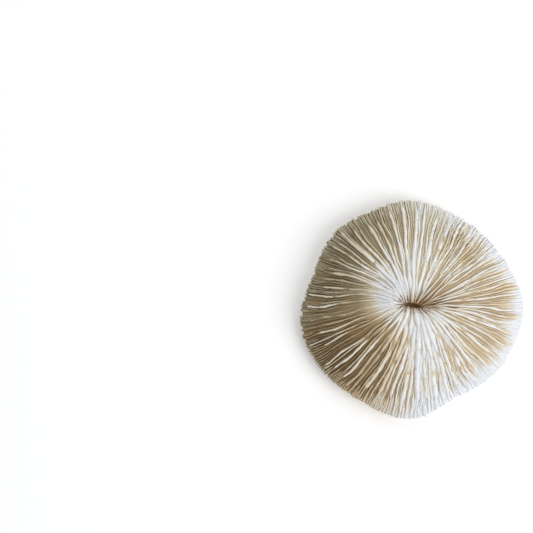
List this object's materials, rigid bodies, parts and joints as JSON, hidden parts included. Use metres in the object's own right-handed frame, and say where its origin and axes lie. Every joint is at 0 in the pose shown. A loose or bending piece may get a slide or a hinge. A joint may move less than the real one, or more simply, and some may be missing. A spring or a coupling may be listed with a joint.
{
  "type": "mushroom coral",
  "caption": "Dry skeleton of a mushroom coral: a low rounded disc with thin upright plates running from a slit mouth to a finely toothed rim, and a flat ribbed underside to rest on.",
  "frame": {"origin": "on the resting plane, under the middle of the bounding box", "axes": "+Z up through the mouth side, the short way through the disc; +Y is up in the picture, and +X to its right"},
  "size_m": [0.106, 0.1038, 0.0322],
  "materials": {
    "coral_skeleton": "matte, chalky, off-white edges over tan grooves"
  },
  "bodies": {
    "root": {"coral": "coral_skeleton"}
  },
  "joints": []
}
